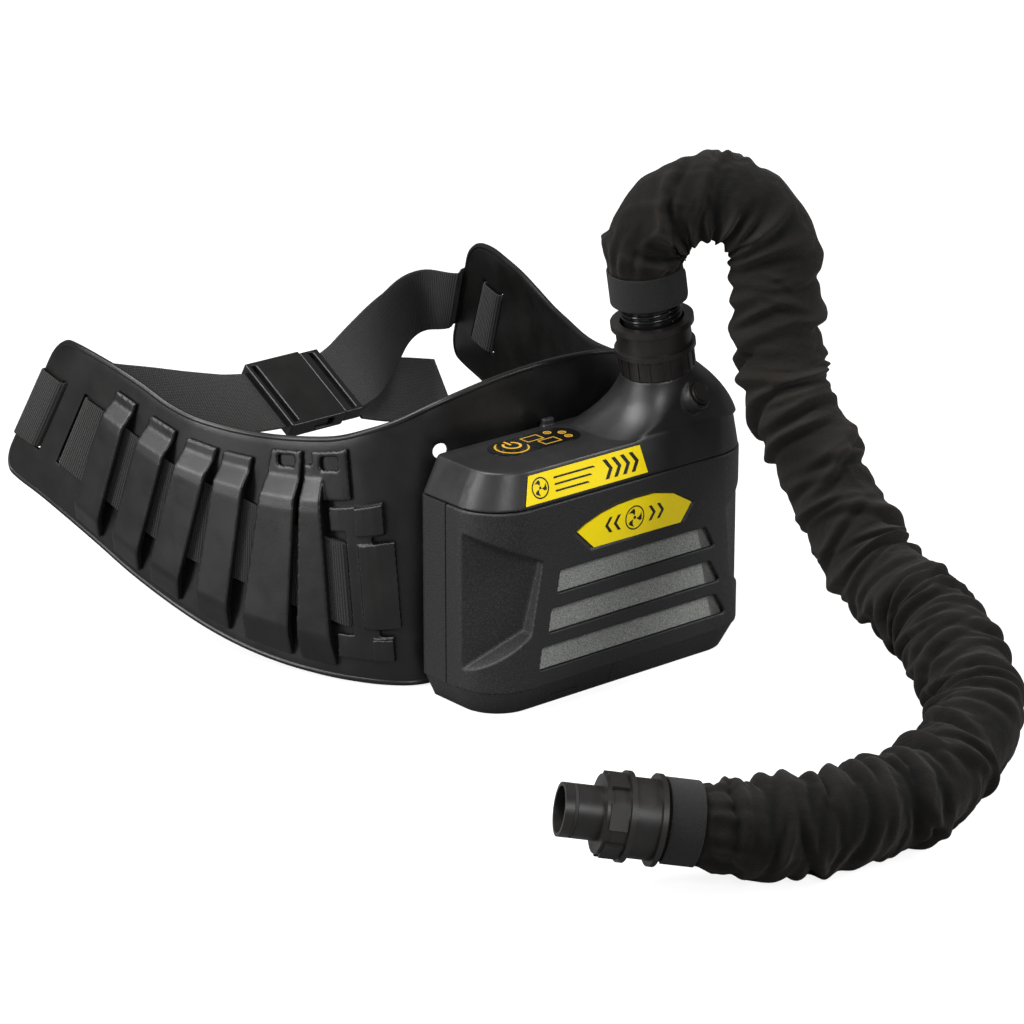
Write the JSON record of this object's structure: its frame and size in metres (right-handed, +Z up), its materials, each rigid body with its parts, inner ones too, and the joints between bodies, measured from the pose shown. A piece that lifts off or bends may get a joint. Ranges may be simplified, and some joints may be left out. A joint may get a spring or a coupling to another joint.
{
  "type": "powered air respirator",
  "caption": "Belt-worn powered air blower with a front filter cover, a wide hip belt with a side-release buckle, and a fabric-sleeved breathing hose ending in a helmet spigot.",
  "frame": {"origin": "centre of the blower's underside on its back plane", "axes": "+Z up, -Y out of the blower's front cover, +Y towards the wearer and the belt loop, +X towards the hose outlet"},
  "size_m": [0.4356, 0.7412, 0.3355],
  "materials": {
    "shell_satin": "satin",
    "cover_texture": "fine grained",
    "belt_plastic": "satin",
    "connector_plastic": "satin",
    "panel_gloss": "gloss",
    "badge_yellow": "gloss",
    "screen_grey": "grained",
    "hose_gloss": "gloss",
    "sleeve_fabric": "woven",
    "webbing_fabric": "ribbed",
    "band_fabric": "hook and loop",
    "rubber_black": "matte",
    "filter_white": "pleated",
    "prefilter_grey": "felt",
    "board_green": "satin",
    "fan_plastic": "satin",
    "motor_metal": "satin",
    "steel": "brushed",
    "lamp_amber": "gloss"
  },
  "bodies": {
    "blower_and_belt": {"rear_housing": "cover_texture", "upper_housing": "shell_satin", "filter_frame": "fan_plastic", "filter_media": "filter_white", "filter_seal": "rubber_black", "filter_seat_plate": "fan_plastic", "fan_scroll": "fan_plastic", "motor_can": "motor_metal", "circuit_board": "board_green", "board_components": "panel_gloss", "dome_switch": "steel", "control_panel": "panel_gloss", "level_windows": "panel_gloss", "status_lights": "lamp_amber", "stripe_label": "badge_yellow", "release_spring": "steel", "outlet_seal": "rubber_black", "hip_plate": "belt_plastic", "belt_clip": "belt_plastic", "belt_clip_screws": "steel", "left_belt_bars": "belt_plastic", "right_belt_bars": "belt_plastic", "left_webbing": "webbing_fabric", "right_webbing": "webbing_fabric", "left_strap_anchor": "belt_plastic", "right_strap_anchor": "belt_plastic", "left_front_strap": "webbing_fabric", "right_front_strap": "webbing_fabric", "webbing_tail": "webbing_fabric", "buckle_socket": "belt_plastic"},
    "fan_rotor": {"impeller": "fan_plastic", "motor_shaft": "steel"},
    "front_cover": {"filter_cover": "cover_texture", "cover_badge": "badge_yellow", "spark_screen": "screen_grey", "prefilter_pad": "prefilter_grey"},
    "battery": {"battery_pack": "cover_texture"},
    "battery_release": {"battery_latch": "belt_plastic"},
    "power_key": {"power_button": "panel_gloss"},
    "hose_release": {"hose_release_button": "connector_plastic"},
    "hose_upper": {"hose_collar": "connector_plastic", "upper_cuff_band": "band_fabric", "sleeve_1": "sleeve_fabric", "inner_hose_1": "hose_gloss"},
    "hose_middle": {"sleeve_2": "sleeve_fabric", "inner_hose_2": "hose_gloss"},
    "hose_lower": {"sleeve_3": "sleeve_fabric", "inner_hose_3": "hose_gloss"},
    "hose_end": {"sleeve_4": "sleeve_fabric", "inner_hose_4": "hose_gloss", "lower_cuff_band": "band_fabric"},
    "helmet_connector": {"helmet_collar": "connector_plastic", "helmet_spigot": "connector_plastic", "spigot_seal": "rubber_black"},
    "buckle_insert": {"buckle_plug": "belt_plastic", "buckle_arms": "belt_plastic"}
  },
  "joints": [
    {"name": "fan_spin", "type": "hinge", "parent": "blower_and_belt", "child": "fan_rotor", "pos_m": [0.022, -0.0135, 0.078], "axis": [0, 1, 0], "continuous": true},
    {"name": "cover_removal", "type": "slide", "parent": "blower_and_belt", "child": "front_cover", "axis": [0, -1, 0], "range_m": [0, 0.025]},
    {"name": "battery_removal", "type": "slide", "parent": "blower_and_belt", "child": "battery", "axis": [0, 0, -1], "range_m": [0, 0.075]},
    {"name": "battery_latch_press", "type": "slide", "parent": "battery", "child": "battery_release", "axis": [0, 1, 0], "range_m": [0, 0.0018]},
    {"name": "power_button_press", "type": "slide", "parent": "blower_and_belt", "child": "power_key", "axis": [0, 0, -1], "range_m": [0, 0.0008]},
    {"name": "hose_release_press", "type": "slide", "parent": "blower_and_belt", "child": "hose_release", "axis": [-0.24, 0.8, -0.55], "range_m": [0, 0.0018], "deforming": ["release_spring"]},
    {"name": "hose_swivel", "type": "hinge", "parent": "blower_and_belt", "child": "hose_upper", "pos_m": [0.053, -0.035, 0.191], "axis": [-0.165, 0, 0.9863], "range_deg": [-10, 80]},
    {"name": "hose_bend_upper", "type": "hinge", "parent": "hose_upper", "child": "hose_middle", "pos_m": [0.10111, -0.0893, 0.25812], "axis": [1, 0, 0], "range_deg": [-25, 3]},
    {"name": "hose_bend_middle", "type": "hinge", "parent": "hose_middle", "child": "hose_lower", "pos_m": [0.08784, -0.22344, 0.08515], "axis": [0, 0, 1], "range_deg": [-20, 20]},
    {"name": "hose_bend_lower", "type": "hinge", "parent": "hose_lower", "child": "hose_end", "pos_m": [-0.04925, -0.3553, 0.0321], "axis": [0, 0, 1], "range_deg": [-25, 25]},
    {"name": "helmet_connector_swivel", "type": "hinge", "parent": "hose_end", "child": "helmet_connector", "pos_m": [-0.19113, -0.29982, 0.04173], "axis": [-0.8411, 0.506, 0.191], "continuous": true},
    {"name": "buckle_release", "type": "slide", "parent": "blower_and_belt", "child": "buckle_insert", "axis": [1, 0, 0], "range_m": [0, 0.03], "deforming": ["buckle_arms", "right_front_strap"]}
  ]
}
